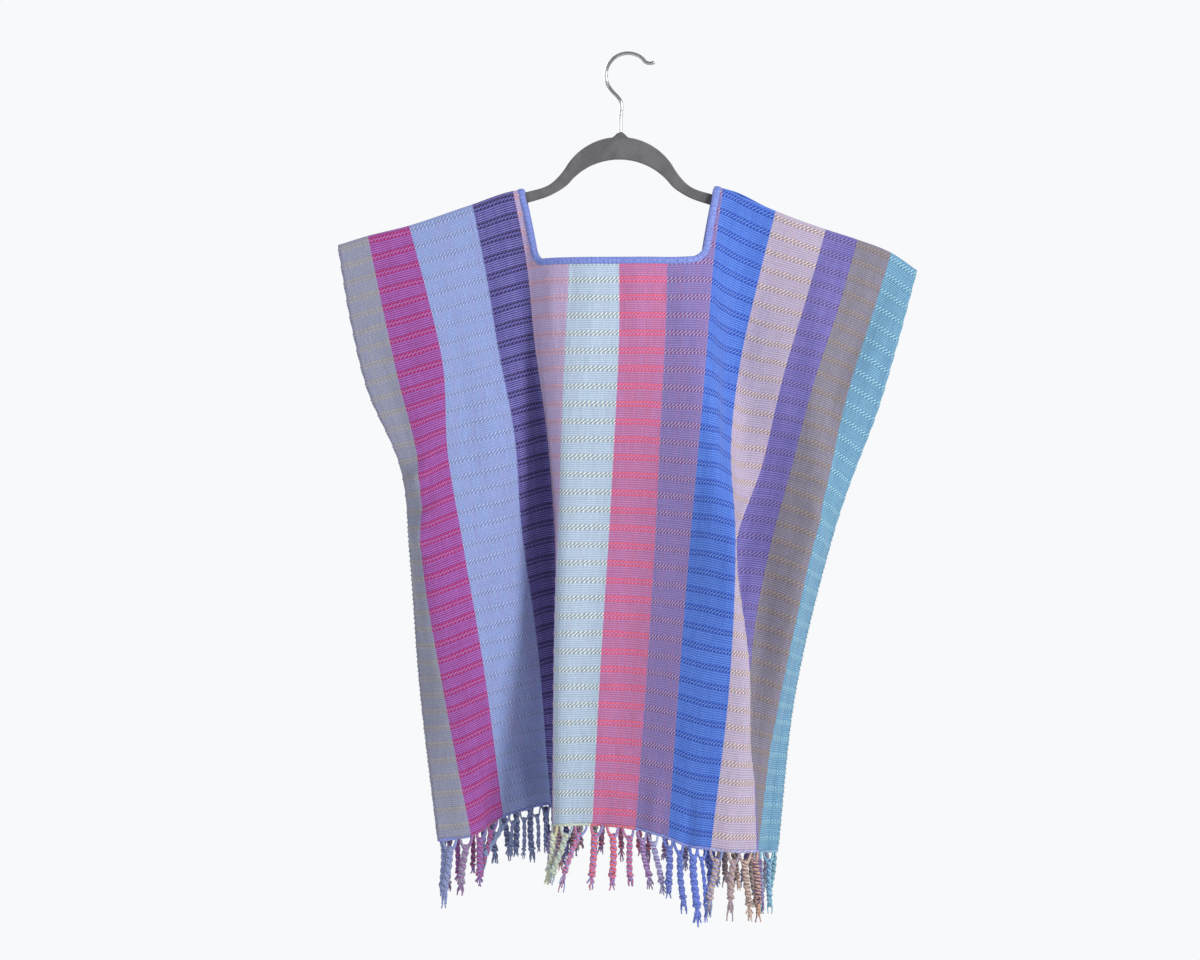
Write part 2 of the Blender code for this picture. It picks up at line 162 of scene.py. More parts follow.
BACK_CREASES = (
    (4, 262, 66, 230, 9, -3.5),
    (2, 290, 52, 284, 8, 3.2),
    (0, 308, 44, 326, 8, -2.6),
    (26, 100, 30, 420, 11, 2.0),
    (98, 50, 112, 380, 15, -2.6),
    (140, 120, 150, 600, 14, 2.4),
    (180, 200, 196, 620, 12, -2.6),
    (214, 72, 218, 150, 6, 1.0),
    (240, 70, 240, 170, 7, -1.2),
    (268, 72, 270, 150, 6, 1.2),
    (296, 70, 294, 190, 7, -1.0),
    (322, 72, 324, 150, 6, 1.1),
    (350, 70, 348, 170, 7, -1.2),
    (374, 72, 376, 150, 6, 1.0),
    (262, 280, 256, 620, 16, 2.0),
    (320, 240, 330, 610, 16, -2.2),
    (450, 60, 444, 300, 12, 2.0),
    (520, 40, 530, 400, 12, 2.4),
    (560, 80, 570, 460, 13, -2.8),
    (570, 250, 618, 296, 8, 2.4),
    (566, 280, 618, 334, 8, -2.4),
    (60, 575, 56, 650, 10, 2.2),
    (120, 570, 124, 650, 9, -2.0),
    (230, 580, 232, 650, 10, 2.0),
    (306, 580, 300, 650, 10, -2.0),
    (380, 575, 384, 650, 10, 2.2),
    (470, 575, 470, 650, 9, -2.0),
    (540, 575, 536, 650, 9, 2.0),
)
# How far the front's threads have slipped up along themselves, in mm, for the rows to lie as they do.
FRONT_SLIP = (
    # across, at the neck, bust, armhole, waist, hip
    (0, 0, 0, 0, 0, 0),
    (295, 0, 0, 0, 0, 0),
    (346, 0, 0, -1, -1, 0),
    (392, -1, -3, -5, -3, -1),
    (423, 0, -1, 0, 2, 1),
    (454, 2, 3, 2, -1, -1),
    (481, 3, 4, 3, 1, 0),
    (541, 3, 4, 5, 4, 2),
    (580, 2, 3, 4, 3, 2),
    (618, 0, 0, 0, 0, 0),
)
BACK_SLIP = ((0, 0, 0, 0, 0, 0), (618, 0, 0, 0, 0, 0))
PLACES_DOWN = np.append(np.arange(12) * MM, np.linspace(12 * MM, PANEL_LENGTH, 155))


def smooth(knots, values, places):
    """Cubic curves through values at the knots, read at places along the first axis."""
    slopes = np.gradient(values, knots, axis=0)
    left = np.clip(np.searchsorted(knots, places, side="right") - 1, 0, len(knots) - 2)
    span = knots[left + 1] - knots[left]
    t = (places - knots[left]) / span
    shape = (-1,) + (1,) * (values.ndim - 1)
    t, span = t.reshape(shape), span.reshape(shape)
    return (
        values[left] * (1 + 2 * t) * (1 - t) ** 2
        + slopes[left] * span * t * (1 - t) ** 2
        + values[left + 1] * t**2 * (3 - 2 * t)
        + slopes[left + 1] * span * t**2 * (t - 1)
    )


class HungCloth:
    """Front or back as it hangs: places on it are u across and v down its flat cut, in metres."""

    def __init__(self, warps, side, creases, slip):
        table = np.array(warps, float) * MM
        self.slip = np.pad(np.array(slip, float) * MM, ((0, 0), (0, 1)))
        self.side = side
        self.creases = np.array(creases, float) * MM
        self.edges = np.cumsum(table[:, 0]).round(6)
        self.drop = table[:, 1]
        self.x = table[:, 2:9]
        self.y = table[:, 9:16]
        self.hem = table[:, 16]

    def threads(self, u):
        """The warp thread at each u, as points at PLACES_DOWN."""
        x = smooth(LEVELS, smooth(self.edges, self.x, u).T, PLACES_DOWN)
        y = smooth(LEVELS, smooth(self.edges, self.y, u).T, PLACES_DOWN)
        down = PLACES_DOWN[:, None]
        near_side = np.clip(1 - np.minimum(u, self.edges[-1] - u) / SEAM_REACH, 0, 1)
        sewn = np.clip((down - ARMHOLE_DEPTH) / SEAM_CLOSING + 1, 0, 1)
        together = near_side**2 * sewn**2 * (3 - 2 * sewn)
        folded = FOLD_RADIUS * np.sin(np.clip(down / FOLD_RADIUS, 0, pi / 2))
        folded = folded + CLEAR_OF_HANGER * np.clip(down / CREST_HALF_WIDTH, 0, 1)
        apart = self.side * (folded * (1 - together) + SEAM_HALF_GAP * together)
        lean = np.gradient(x, PLACES_DOWN, axis=0) ** 2
        lean = lean + np.gradient(y + apart, PLACES_DOWN, axis=0) ** 2
        y = y * np.clip(down / SWELL_START, 0, 1) + apart
        fall = np.sqrt(np.clip(1 - lean, 0, 1))
        steps = (fall[1:] + fall[:-1]) / 2 * np.diff(PLACES_DOWN)[:, None]
        fallen = np.vstack((np.zeros(len(u)), np.cumsum(steps, axis=0)))
        top = SHOULDER_Z - smooth(self.edges, self.drop, u)
        z = top + (smooth(self.edges, self.hem, u) - top) * fallen / fallen[-1]
        slip = np.insert(self.slip[:, 1:], 0, 0, axis=1)
        z = z + smooth(LEVELS, smooth(self.slip[:, 0], slip, u).T, PLACES_DOWN)
        return np.stack((x, y, z), axis=2)

    def rise(self, u, v):
        """How far the creases lift the cloth at u and v."""
        total = np.zeros(np.broadcast(u, v).shape)
        for start_u, start_v, end_u, end_v, width, height in self.creases:
            run_u, run_v = end_u - start_u, end_v - start_v
            length = (run_u**2 + run_v**2) ** 0.5
            along = ((u - start_u) * run_u + (v - start_v) * run_v) / length**2
            aside = ((u - start_u) * run_v - (v - start_v) * run_u) / length
            ends = np.sin(np.clip(along, 0, 1) * pi) ** 0.8
            total = total + height * ends * np.exp(-((aside / width) ** 2))
        hung_free = np.clip(v / SWELL_START, 0, 1)
        off_seam = np.clip(np.minimum(u, self.edges[-1] - u) / (6 * MM), 0, 1)
        sewn = np.clip((v - ARMHOLE_DEPTH) / SEAM_CLOSING + 1, 0, 1)
        return total * hung_free * (1 - sewn * (1 - off_seam))

    def grid(self, u, v):
        """The creased middle surface at all u and v, and its outward direction: len(v), len(u), 3."""
        points = smooth(PLACES_DOWN, self.threads(u), v)
        normal = np.cross(np.gradient(points, u, axis=1), np.gradient(points, v, axis=0))
        outward = self.side * normal / np.linalg.norm(normal, axis=2)[..., None]
        return points + outward * self.rise(u[None, :], v[:, None])[..., None], outward

    def place(self, u, v, out=0.0):
        """Points at matching u and v, moved out of the cloth by out."""
        u, v = np.asarray(u, float), np.clip(v, 0, PANEL_LENGTH)
        nudge = 0.5 * MM

        def read(at_u, at_v):
            lines = self.threads(at_u)
            return np.array([
                smooth(PLACES_DOWN, lines[:, k], at_v[k:k + 1])[0] for k in range(len(at_u))
            ])

        up, down = np.clip(v - nudge, 0, None), np.clip(v + nudge, None, PANEL_LENGTH)
        across = read(u + nudge, v) - read(u - nudge, v)
        normal = np.cross(across, read(u, down) - read(u, up))
        outward = self.side * normal / np.linalg.norm(normal, axis=1)[:, None]
        return read(u, v) + outward * (self.rise(u, v) + out)[:, None]


def stops(edges, step):
    """Places from the first edge to the last that hold every edge, about a step apart."""
    places = [edges[0]]
    for start, end in zip(edges, edges[1:]):
        count = max(1, round((end - start) / step))
        places += [start + (end - start) * k / count for k in range(1, count + 1)]
    return np.array(places)


def make_piece(name, corners, faces, finish):
    """A smooth mesh piece that hangs with the rest of the object."""
    mesh = bpy.data.meshes.new(name)
    mesh.from_pydata(corners, [], faces)
    mesh.update()
    mesh.shade_smooth()
    mesh.materials.append(finish)
    piece = bpy.data.objects.new(name, mesh)
    bpy.context.scene.collection.objects.link(piece)
    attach(piece, "root")
    return piece


def write_values(piece, name, kind, field, values):
    """Keeps one value for each corner of a piece's mesh, for its finish to read."""
    layer = piece.data.attributes.new(name, kind, "POINT")
    layer.data.foreach_set(field, np.asarray(values, np.float32).ravel())


def in_neck(u, v, margin):
    """Whether a place on the flat cloth lies more than margin inside the neck's rounded cut edge."""
    left, right = NECK_LEFT + NECK_TAPER * v + margin, NECK_RIGHT - NECK_TAPER * v - margin
    low = NECK_DEPTH - margin
    beyond_u = NECK_CORNER - min(u - left, right - u)
    beyond_v = v - (low - NECK_CORNER)
    if min(beyond_u, beyond_v) > 0:
        return beyond_u**2 + beyond_v**2 < NECK_CORNER**2
    return left < u < right and v < low


def weave_cloth(name, cloth, finish):
    """A thin wall of cloth with a raised ridge on each twined row and its half of the neck cut out."""
    u = stops(cloth.edges, COLUMN_WIDTH)
    repeats = int(PANEL_LENGTH / TWINED_PITCH) + 1
    v = [TWINED_START + TWINED_PITCH * k + row * MM for k in range(repeats) for row in ROWS_IN_REPEAT]
    v = [row for row in v if row < PANEL_LENGTH - 2 * MM]
    v = np.array([0, 1.6 * MM, 3.2 * MM, 4.8 * MM] + v + [PANEL_LENGTH])
    points, outward = cloth.grid(u, v)
    into_repeat = np.mod(v - TWINED_START, TWINED_PITCH)
    ridge = (into_repeat > MM) & (into_repeat < 5 * MM) & (v > TWINED_START)
    points = points + outward * (ridge * TWINED_HEIGHT)[:, None, None]
    rows, columns = len(v), len(u)
    faces = []
    for r in range(rows - 1):
        for c in range(columns - 1):
            if not in_neck((u[c] + u[c + 1]) / 2, (v[r] + v[r + 1]) / 2, UNDER_BINDING):
                corner = r * columns + c
                faces.append((corner, corner + columns, corner + columns + 1, corner + 1))
    used = np.unique(faces)
    number = np.full(rows * columns, -1)
    number[used] = np.arange(len(used))
    places = np.stack(np.broadcast_arrays(u[None, :], v[:, None], 0.0), axis=2).reshape(-1, 3)
    piece = make_piece(name, points.reshape(-1, 3)[used], number[np.array(faces)].tolist(), finish)
    write_values(piece, "thread", "FLOAT_VECTOR", "vector", places[used])
    wall = piece.modifiers.new("wall", "SOLIDIFY")
    wall.thickness = CLOTH_THICKNESS
    wall.offset = 0
    return piece


# Colours of the yarns, from the left of the front to the right: the flat width of each stripe, its two
# ground shades, the shade between its ribs, the light strands of its twined rows (their yarn with a painted
# highlight mixed in), the dark colour of the gaps between those strands (their yarn with painted shade
# mixed in), the colour of the line that runs along them, and how far they show as whole lines instead of
# slanting strands.
STRIPES = (
    # stripe, width mm, ground, second ground, between ribs, light strand and painted highlight, dark strand
    # and painted shade, line, lines
    ("grey", 33, "#9194AC", "#9799AA", "#82859E", "#A39E9A", "#7C809C", "#A39D92", 0.5),
    ("magenta", 45, "#A66ABF", "#A262B4", "#862E76", "#B78FD6", "#94246E", "#A01660", 1.0),
    ("light_blue", 67, "#91A4D6", "#969CCC", "#7D8FC4", "#AEBEE4", "#5468AC", "#B6B9C6", 0.25),
    ("indigo", 45, "#7E7ABF", "#726DB4", "#38306E", "#7E86D8", "#332B70", "#2C1842", 1.0),
    ("mauve", 56, "#BAACD0", "#BBA4C6", "#A896BF", "#DAB2BA", "#8C7AAA", "#DDA8B2", 0.5),
    ("aqua", 49, "#BACCE0", "#B8C4D8", "#9DB2CA", "#F4F5E8", "#6E88A0", "#DDE3DA", 0.1),
    ("rose", 51, "#BC80AF", "#C0789F", "#A9649A", "#C996CE", "#B04A80", "#E0586E", 0.8),
    ("violet", 46, "#887BB6", "#957AB0", "#7666A2", "#A9B0D2", "#74387A", "#8C4C8A", 0.15),
    ("royal", 62, "#5E86DA", "#547CD2", "#3B60C0", "#7DA4EE", "#1A389E", "#2044AC", 0.8),
    ("cream", 54, "#BBB0C8", "#C0B0C5", "#A094B0", "#F0D2BC", "#77748E", "#D9BFB4", 0.1),
    ("purple", 33, "#7A74B8", "#857DBE", "#5A5298", "#8B90CA", "#423A78", "#7A4888", 0.3),
    ("taupe", 39, "#87838F", "#908A9C", "#6E6A7C", "#A2907C", "#64627A", "#908068", 0.25),
    ("turquoise", 38, "#7CACCA", "#739FC0", "#5683A4", "#A6D2E6", "#4A7C9C", "#6FA6C2", 0.1),
)


def tint(code):
    """A colour's six-figure code as the shader's linear colour."""
    parts = np.array([int(code[k:k + 2], 16) / 255 for k in (1, 3, 5)])
    linear = np.where(parts <= 0.04045, parts / 12.92, ((parts + 0.055) / 1.055) ** 2.4)
    return (*linear, 1.0)


class Finish:
    """One surface finish, with its nodes joined as they are made."""

    def __init__(self, name, **settings):
        self.material = bpy.data.materials.new(name)
        self.material.use_nodes = True
        self.nodes = self.material.node_tree.nodes
        self.links = self.material.node_tree.links
        self.shader = self.nodes["Principled BSDF"]
        for socket, value in settings.items():
            self.shader.inputs[socket.replace("_", " ")].default_value = value

    def node(self, kind, sockets=(), **settings):
        made = self.nodes.new("ShaderNode" + kind)
        for setting, value in settings.items():
            setattr(made, setting, value)
        for socket, value in sockets:
            if isinstance(value, bpy.types.NodeSocket):
                self.links.new(value, made.inputs[socket])
            else:
                made.inputs[socket].default_value = value
        return made

    def math(self, operation, first, second=0.0):
        return self.node("Math", ((0, first), (1, second)), operation=operation).outputs[0]

    def ease(self, value, low, high, bottom=0.0, top=1.0):
        sockets = ((0, value), (1, low), (2, high), (3, bottom), (4, top))
        return self.node("MapRange", sockets, interpolation_type="SMOOTHSTEP").outputs[0]

    def mix(self, amount, first, second, blend="MIX"):
        sockets = ((0, amount), (6, first), (7, second))
        return self.node("Mix", sockets, data_type="RGBA", blend_type=blend).outputs[2]

    def ramp(self, value, marks, interpolation="LINEAR"):
        made = self.node("ValToRGB", ((0, value),))
        made.color_ramp.interpolation = interpolation
        while len(made.color_ramp.elements) < len(marks):
            made.color_ramp.elements.new(1.0)
        for element, (place, colour) in zip(made.color_ramp.elements, marks):
            element.position = place
            element.color = colour
        return made.outputs[0]

    def noise(self, vector, scale, detail=2.0):
        sockets = (("Vector", vector), ("Scale", scale), ("Detail", detail))
        return self.node("TexNoise", sockets).outputs[0]

    def bump(self, height, strength, distance):
        sockets = (("Strength", strength), ("Distance", distance), ("Height", height))
        self.links.new(self.node("Bump", sockets).outputs[0], self.shader.inputs["Normal"])

    def colour(self, socket):
        self.links.new(socket, self.shader.inputs["Base Color"])


def woven_finish():
    """Striped plain weave: ribs eight to a repeat, three of which the double twined row takes up."""
    finish = Finish("striped_weave", Roughness=0.9, Sheen_Weight=0.15, Sheen_Roughness=0.6,
                    Specular_IOR_Level=0.2)
    place = finish.node("Attribute", attribute_name="thread").outputs["Vector"]
    split = finish.node("SeparateXYZ", ((0, place),))
    across = finish.math("DIVIDE", split.outputs[0], MM)
    down = finish.math("DIVIDE", split.outputs[1], MM)

    def stretched_noise(across_scale, down_scale, detail=2.0):
        stretched = finish.node("CombineXYZ", ((0, finish.math("MULTIPLY", across, across_scale)),
                                               (1, finish.math("MULTIPLY", down, down_scale))))
        return finish.noise(stretched.outputs[0], 1.0, detail)

    streaks = stretched_noise(0.16, 0.012, 3.0)
    yarns = stretched_noise(1.1, 0.06, 1.0)
    waver = finish.math("MULTIPLY", finish.math("SUBTRACT", stretched_noise(0.03, 0.06), 0.5), 2.4)
    from_start = finish.math("SUBTRACT", finish.math("ADD", down, waver), TWINED_START / MM)
    repeats = finish.math("DIVIDE", from_start, TWINED_PITCH / MM)
    slot = finish.math("MULTIPLY", finish.math("FRACT", repeats), RIBS_IN_REPEAT)

    # Neighbouring stripes bite into each other by a little less than half a millimetre at every rib.
    wave = finish.math("SINE", finish.math("MULTIPLY", slot, tau))
    bitten = finish.math("ADD", across, finish.math("MULTIPLY", wave, STRIPE_BITE))
    stripe_place = finish.math("DIVIDE", bitten, CLOTH_WIDTH_MM)
    starts = np.cumsum([0] + [row[1] for row in STRIPES[:-1]]) / CLOTH_WIDTH_MM

    def by_stripe(values):
        return finish.ramp(stripe_place, list(zip(starts, values)), "CONSTANT")

    beat_up = stretched_noise(0.012, 0.55)
    shades = [by_stripe([tint(row[column]) for row in STRIPES]) for column in range(2, 8)]
    first, second, between, light, dark_strand_and_gap_shade, line = shades
    lined = by_stripe([(row[8],) * 3 + (1,) for row in STRIPES])
    ground = finish.mix(finish.ease(streaks, 0.42, 0.62), first, second)

    # Red and green are the upper and lower twined rows, and blue is the line along the top and bottom.
    chart = finish.ramp(finish.math("DIVIDE", slot, RIBS_IN_REPEAT), (
        (0.0, (0, 0, 0, 1)),
        (0.035, (0.9, 0, 1, 1)),
        (0.09, (1, 0, 1, 1)),
        (0.14, (1, 0, 0.15, 1)),
        (0.165, (0.35, 0.35, 0, 1)),
        (0.20, (0, 1, 0.1, 1)),
        (0.25, (0, 1, 0.75, 1)),
        (0.30, (0, 0.8, 0.9, 1)),
        (0.345, (0, 0, 0, 1)),
    ))
    rows = finish.node("SeparateColor", ((0, chart),))
    upper, lower, edges = rows.outputs[0], rows.outputs[1], rows.outputs[2]
    twined = finish.math("ADD", upper, lower)
    plain = finish.math("SUBTRACT", 1.0, twined)
    rib = finish.ease(wave, -0.6, 0.6)
    valley = finish.math("ADD", finish.math("MULTIPLY", finish.math("SUBTRACT", 1.0, rib), 0.95),
                         finish.ease(beat_up, 0.5, 0.7, 0.0, 0.3))
    colour = finish.mix(finish.math("MULTIPLY", valley, plain), ground, between)

    # The strands of the lower row lie a third of the way along from those of the upper one.
    step = finish.math("ADD", finish.math("MULTIPLY", slot, STRAND_LEAN),
                       finish.math("MULTIPLY", lower, LOWER_ROW_SHIFT))
    slant = finish.math("ADD", finish.math("DIVIDE", across, STRAND_PITCH), step)
    strand = finish.ease(finish.math("SINE", finish.math("MULTIPLY", slant, tau)), 0.1, 0.75)
    gap = finish.math("SUBTRACT", 1.0, strand)
    cover = finish.math("MULTIPLY", twined, 0.85)
    # The strands take the light colour, their yarn with a painted highlight, and the gaps between them take
    # the dark colour, their yarn with painted shade.
    colour = finish.mix(finish.math("MULTIPLY", strand, cover), colour, light)
    colour = finish.mix(finish.math("MULTIPLY", gap, cover), colour, dark_strand_and_gap_shade)
    along = finish.math("MULTIPLY", edges, lined)
    along = finish.math("MULTIPLY", along, finish.ease(gap, 0.0, 1.0, 0.8, 1.0))
    colour = finish.mix(along, colour, line)
    shade = finish.ease(yarns, 0.3, 0.7, 0.91, 1.05)
    shade_colour = finish.node("CombineColor", ((0, shade), (1, shade), (2, shade))).outputs[0]
    finish.colour(finish.mix(1.0, colour, shade_colour, "MULTIPLY"))

    height = finish.math("ADD", finish.math("MULTIPLY", finish.math("MULTIPLY", rib, plain), 0.55),
                         finish.math("MULTIPLY", strand, twined))
    height = finish.math("ADD", height, finish.math("MULTIPLY", yarns, 0.35))
    finish.bump(height, 0.75, 0.45 * MM)
    return finish.material


striped_weave = woven_finish()
front_cloth = HungCloth(FRONT_WARPS, -1, FRONT_CREASES, FRONT_SLIP)
back_cloth = HungCloth(BACK_WARPS, 1, BACK_CREASES, BACK_SLIP)
front_piece = weave_cloth("woven_front", front_cloth, striped_weave)
back_piece = weave_cloth("woven_back", back_cloth, striped_weave)
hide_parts("front_outer_left", "front_left", "front_middle", "front_right")
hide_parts("back_outer_left", "back_left", "back_middle", "back_right")

# ---- Neck binding ----
# A narrow periwinkle ribbon folded over the cut edge of the square neck and stitched down all round,
# in one closed run over both arms of the hanger.

BINDING_WIDTH = 7.4 * MM
BINDING_THICKNESS = 3.4 * MM
BINDING_CENTRE = 2.9 * MM
BINDING_STEP = 1.5 * MM
BINDING_SIDES = 12
NECK_STITCH = 4.2 * MM


def neck_path():
    """The neck's cut edge as u and v from the left shoulder to the right one, and which way is in."""
    turn_v = NECK_DEPTH - NECK_CORNER
    left_u = NECK_LEFT + NECK_TAPER * turn_v + NECK_CORNER
    right_u = NECK_RIGHT - NECK_TAPER * turn_v - NECK_CORNER
    side = stops((0, turn_v), BINDING_STEP)
    bottom = stops((left_u, right_u), BINDING_STEP)
    path = [(NECK_LEFT + NECK_TAPER * v, v) for v in side[:-1]]
    inward = [(1, 0)] * len(path)
    for centre, start, end in ((left_u, pi, pi / 2), (right_u, pi / 2, 0)):
        if centre == right_u:
            path += [(u, NECK_DEPTH) for u in bottom[1:-1]]
            inward += [(0, -1)] * (len(bottom) - 2)
        for turn in np.linspace(start, end, 13):
            path.append((centre + NECK_CORNER * cos(turn), turn_v + NECK_CORNER * sin(turn)))
            inward.append((-cos(turn), -sin(turn)))
    path += [(NECK_RIGHT - NECK_TAPER * v, v) for v in side[-2::-1]]
    inward += [(-1, 0)] * (len(side) - 1)
    return np.array(path), np.array(inward)


def binding_finish():
    finish = Finish("periwinkle_ribbon", Roughness=0.62, Sheen_Weight=0.35, Sheen_Roughness=0.4,
                    Specular_IOR_Level=0.4)
    place = finish.node("Attribute", attribute_name="ribbon").outputs["Vector"]
    split = finish.node("SeparateXYZ", ((0, place),))
    along = finish.math("DIVIDE", split.outputs[0], MM)
    weft = finish.math("SINE", finish.math("MULTIPLY", along, tau / 0.9))
    grain = finish.noise(place, 900.0)
    colour = finish.mix(finish.ease(grain, 0.3, 0.7), tint("#6475C0"), tint("#8495D8"))
    stitch = finish.math("SINE", finish.math("MULTIPLY", along, tau / (NECK_STITCH / MM)))
    colour = finish.mix(finish.ease(stitch, 0.82, 1.0, 0.0, 0.55), colour, tint("#4E58AE"))
    finish.colour(colour)
    finish.bump(finish.math("ADD", finish.math("MULTIPLY", weft, 0.3), grain), 0.5, 0.25 * MM)
    return finish.material


def bind_neck(finish):
    path, inward = neck_path()
    turns = np.linspace(0, tau, BINDING_SIDES, endpoint=False)
    rings, along = [], 0.0
    for cloth, order in ((front_cloth, slice(None)), (back_cloth, slice(-2, 0, -1))):
        for (u, v), (in_u, in_v) in zip(path[order], inward[order]):
            puff = 1 + 0.07 * sin(along / NECK_STITCH * tau) + 0.05 * sin(along / (23 * MM))
            far = BINDING_CENTRE + BINDING_WIDTH / 2 * np.cos(turns)
            out = BINDING_THICKNESS / 2 * np.sign(np.sin(turns)) * np.abs(np.sin(turns)) ** 0.8 * puff
            rings.append(cloth.place(u + in_u * far, v + in_v * far, out))
            along += BINDING_STEP
    corners = np.concatenate(rings)
    count = len(rings)
    faces = [
        (
            ring * BINDING_SIDES + k,
            ring * BINDING_SIDES + (k + 1) % BINDING_SIDES,
            (ring + 1) % count * BINDING_SIDES + (k + 1) % BINDING_SIDES,
            (ring + 1) % count * BINDING_SIDES + k,
        )
        for ring in range(count)
        for k in range(BINDING_SIDES)
    ]
    piece = make_piece("bound_neck", corners, faces, finish)
    lengths = np.repeat(np.arange(count) * BINDING_STEP, BINDING_SIDES)
    rounds = np.tile(turns, count) * MM
    write_values(piece, "ribbon", "FLOAT_VECTOR", "vector", np.stack((lengths, rounds, rounds * 0), axis=1))
    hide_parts("neck_binding")
    return piece


bound_neck = bind_neck(binding_finish())

# ---- Fringe ----
# The warp ends left past the last weft are gathered in groups, twisted in pairs with a periwinkle yarn
# and tied in an overhand knot, with their loose ends below it. A twined line locks each hem above them.

CORD_SIDES = 7
PLY_RADIUS = 2.2 * MM
PLY_OFFSET = 1.55 * MM
TWIST_PITCH = 14 * MM
GATHER_DROP = 13 * MM
GATHER_HALF_WIDTH = 6.5 * MM
FADED = 0.04
KNOT_RADIUS = 2.7 * MM
KNOT_HEIGHT = 5.5 * MM
KNOT_TURN = 2.9 * pi
LOOSE_ENDS = 7
LOOSE_RADIUS = 0.95 * MM
HEM_LINE_RADIUS = 0.95 * MM
HEM_LINE_PITCH = 7 * MM
HEM_ACCENTS = {
    "magenta": ("#C22C60", "#8C5CB4"),
    "aqua": ("#E2E4B8", "#B8CBD4"),
    "rose": ("#E4544C", "#C87CB0"),
    "cream": ("#C9C2DC", "#8C97DC"),
    "turquoise": ("#8CC4DA", "#7C9CD0"),
}
# Tassels of the front, left to right: place across the hem, length to the knot, loose length, lean to
# the right, lean to the front, thickness, and the colours of its two plies. Lengths in mm.
FRONT_TASSELS = (
    # across, to knot, loose, right, front, thickness, first ply, second ply
    (12, 50, 20, -4, 2, 1.00, "#7C86A6", "#7F8FCF"),
    (29, 46, 13, -5, 1, 1.05, "#8A8C9C", "#8C5A9E"),
    (48, 44, 12, -3, 3, 1.05, "#A82F84", "#7D6CB6"),
    (65, 40, 14, -10, 2, 0.90, "#B0306E", "#8A6CB4"),
    (82, 38, 18, -18, 4, 0.85, "#7D90BA", "#8A9CCC"),
    (94, 34, 10, -3, 3, 0.58, "#7080B0", "#8A9CCA"),
    (107, 40, 10, -3, 3, 0.62, "#6C7CAE", "#8A98C8"),
    (121, 38, 9, 3, 2, 0.58, "#7486BA", "#8E9CC8"),
    (137, 40, 10, 1, 2, 0.62, "#6C7EB4", "#8A98C4"),
    (156, 42, 14, 3, 3, 0.80, "#3D3B78", "#5E5FA8"),
    (176, 44, 14, 6, 4, 0.80, "#39356E", "#6A6CB4"),
    (196, 44, 12, 4, 3, 0.85, "#5C4F86", "#D8A6A8"),
    (214, 46, 12, -2, 3, 0.80, "#8E7FB4", "#D5A9B4"),
    (232, 42, 16, -4, 3, 0.95, "#A08CC0", "#4C4A86"),
    (250, 44, 14, -6, 4, 0.95, "#B9C6CE", "#D9DDB0"),
    (268, 46, 12, -12, 4, 0.95, "#C9CDA6", "#9DB4C4"),
    (284, 46, 20, -16, 5, 0.80, "#D45B6C", "#7E86CC"),
    (302, 48, 16, -6, 3, 1.00, "#E0525E", "#8B7CC0"),
    (320, 48, 14, 0, 5, 1.00, "#DE4C50", "#A07CC0"),
    (338, 46, 12, 3, 3, 0.90, "#C8486A", "#8A7CBE"),
    (356, 44, 13, 6, 3, 0.90, "#8C4C90", "#9D92C8"),
    (372, 46, 14, 7, 4, 0.85, "#7A5BA0", "#A6B0D4"),
    (393, 44, 14, 1, 3, 1.00, "#3A52B0", "#6A7CCC"),
    (408, 52, 17, 5, 4, 0.95, "#3F5CB8", "#5F74C8"),
    (431, 56, 21, 2, 4, 1.10, "#4160C0", "#5F78D8"),
    (444, 54, 17, 3, 3, 0.60, "#4664C4", "#5F78D8"),
    (462, 46, 20, -5, 3, 0.95, "#C8A48E", "#7888C0"),
    (481, 44, 22, -3, 4, 0.95, "#B0907E", "#9A8CA6"),
    (494, 50, 18, 2, 4, 0.95, "#8C7478", "#C8AE9E"),
    (506, 48, 20, 3, 3, 1.00, "#54386A", "#C79C84"),
    (526, 44, 14, 4, 3, 0.90, "#6B4E86", "#8C7CB4"),
    (546, 42, 14, 3, 3, 0.90, "#7A7488", "#A28C70"),
    (564, 42, 14, 2, 3, 0.90, "#7F7A8E", "#8F92B6"),
    (584, 46, 16, 3, 3, 1.00, "#4E7F94", "#7FB6CC"),
    (604, 44, 18, 2, 2, 0.80, "#6C8CC4", "#7DC0D4"),
)
BACK_TASSELS = tuple(
    (across + 3, 46 + 5 * sin(across * 0.7), 13 + 4 * sin(across * 1.9), 5 * sin(across * 1.3),
     2 + 2 * sin(across * 0.9), 0.88 + 0.1 * sin(across * 2.3), first, second)
    for across, *_, first, second in FRONT_TASSELS[:-1]
)


def tube(points, radii, sides):
    """Corners and faces of a closed round cord along the points, and how far along each corner is."""
    points = np.asarray(points, float)
    ahead = np.gradient(points, axis=0)
    ahead /= np.linalg.norm(ahead, axis=1)[:, None]
    across = np.cross(ahead[0], (0.3, 1.0, 0.2))
    turns = np.linspace(0, tau, sides, endpoint=False)
    rings = []
    for centre, way, radius in zip(points, ahead, np.broadcast_to(radii, len(points))):
        across = across - way * across.dot(way)
        across /= np.linalg.norm(across)
        other = np.cross(way, across)
        rings.append(centre + radius * (np.outer(np.cos(turns), across) + np.outer(np.sin(turns), other)))
    last = len(points) - 1
    faces = [
        (r * sides + k, r * sides + (k + 1) % sides, (r + 1) * sides + (k + 1) % sides, (r + 1) * sides + k)
        for r in range(last)
        for k in range(sides)
    ]
    faces.append(tuple(range(sides - 1, -1, -1)))
    faces.append(tuple(last * sides + k for k in range(sides)))
    along = np.append(0, np.cumsum(np.linalg.norm(np.diff(points, axis=0), axis=1)))
    lay = np.stack((np.repeat(along, sides), np.tile(turns, len(points)) * MM), axis=1)
    return np.concatenate(rings), faces, lay


